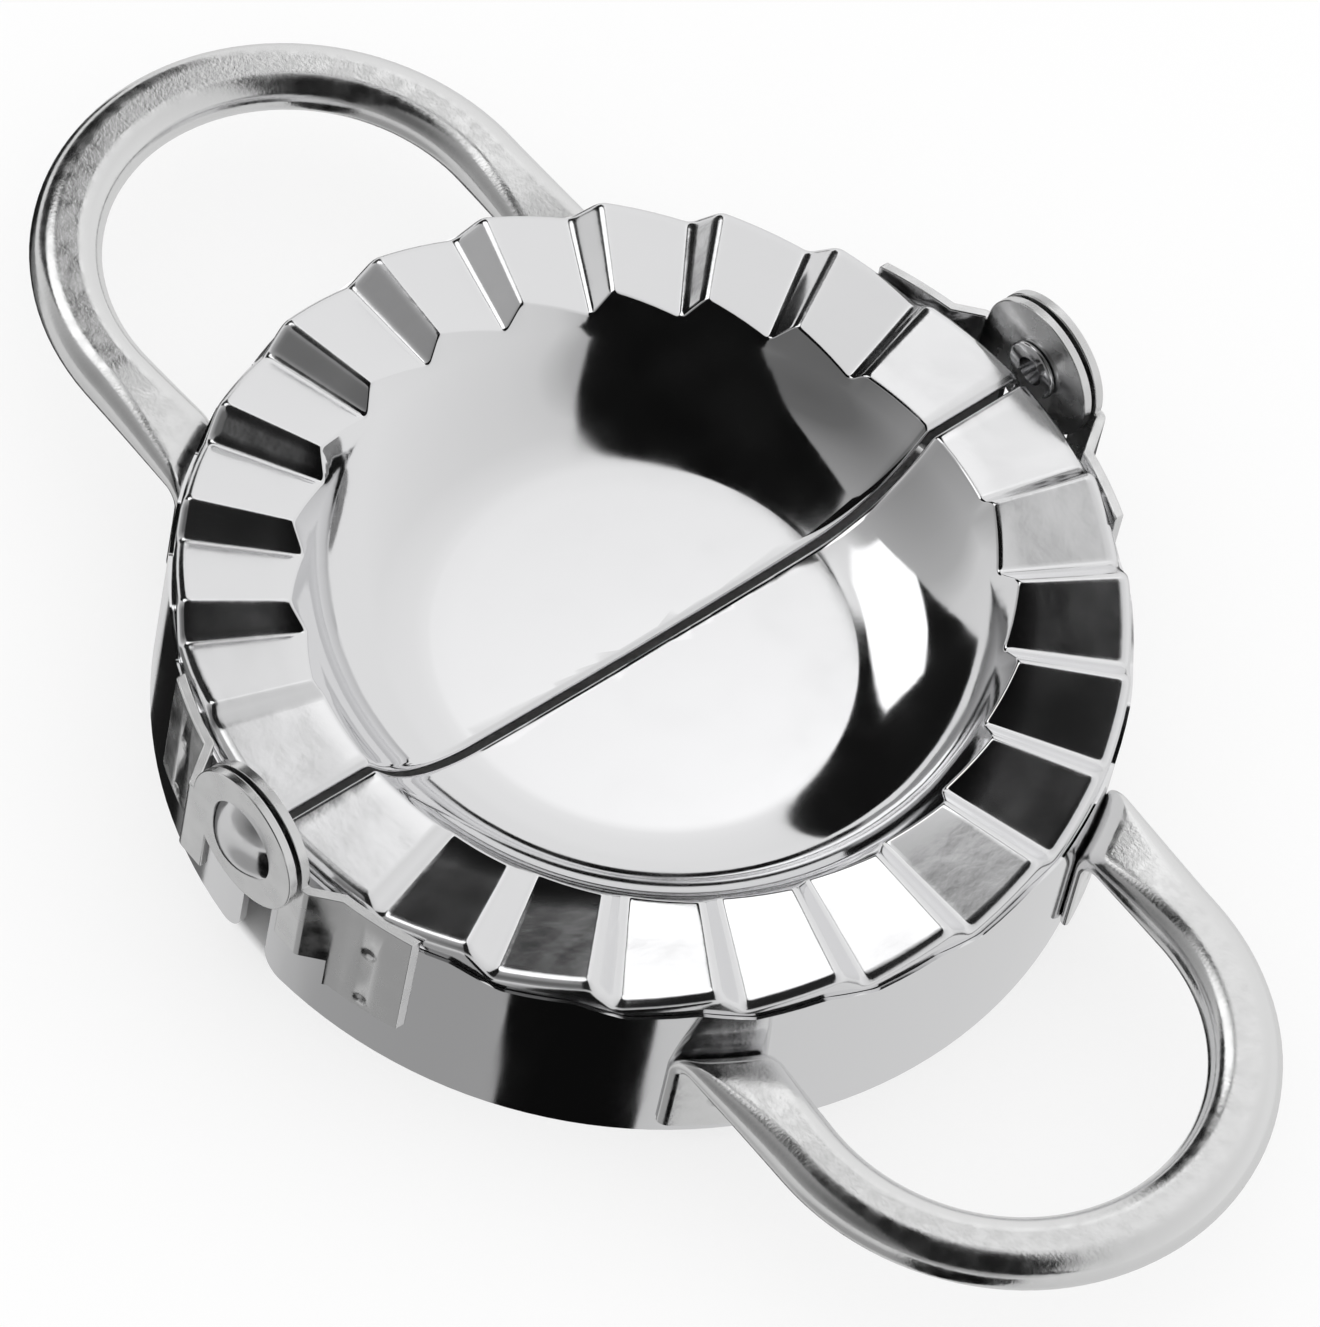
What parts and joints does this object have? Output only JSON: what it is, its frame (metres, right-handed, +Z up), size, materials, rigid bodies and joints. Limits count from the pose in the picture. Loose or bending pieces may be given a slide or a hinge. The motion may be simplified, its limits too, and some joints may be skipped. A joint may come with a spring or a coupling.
{
  "type": "empanada press",
  "caption": "Folding stainless steel dumpling press: toothed half moulds with a shared bowl and cutter ring, looped handles, joined by riveted hinges; shown open and flat.",
  "frame": {"origin": "centre of the ring on the surface that the cutter edges rest on, below the hinge line", "axes": "+X along the hinge line, +Y towards the rear handle, +Z up out of the open bowl"},
  "size_m": [0.1062, 0.165, 0.0298],
  "materials": {
    "polished_shell": "mirror-polished stainless steel",
    "polished_ring": "mirror-polished stainless steel",
    "polished_tube": "polished stainless steel tube",
    "hinge_sheet": "bright rolled stainless sheet",
    "rivet": "polished rivet steel"
  },
  "bodies": {
    "front_half": {"front_mould_shell": "polished_shell", "front_cutter_ring": "polished_ring", "front_handle": "polished_tube", "front_outer_hinge_leaf": "hinge_sheet", "front_inner_hinge_leaf": "hinge_sheet", "front_hinge_rivet": "rivet"},
    "rear_half": {"rear_mould_shell": "polished_shell", "rear_cutter_ring": "polished_ring", "rear_handle": "polished_tube", "rear_outer_hinge_leaf": "hinge_sheet", "rear_inner_hinge_leaf": "hinge_sheet", "rear_hinge_rivet": "rivet"}
  },
  "joints": [
    {"name": "fold", "type": "hinge", "parent": "front_half", "child": "rear_half", "pos_m": [0, 0, 0.02235], "axis": [1, 0, 0], "range_deg": [0, 180]}
  ]
}
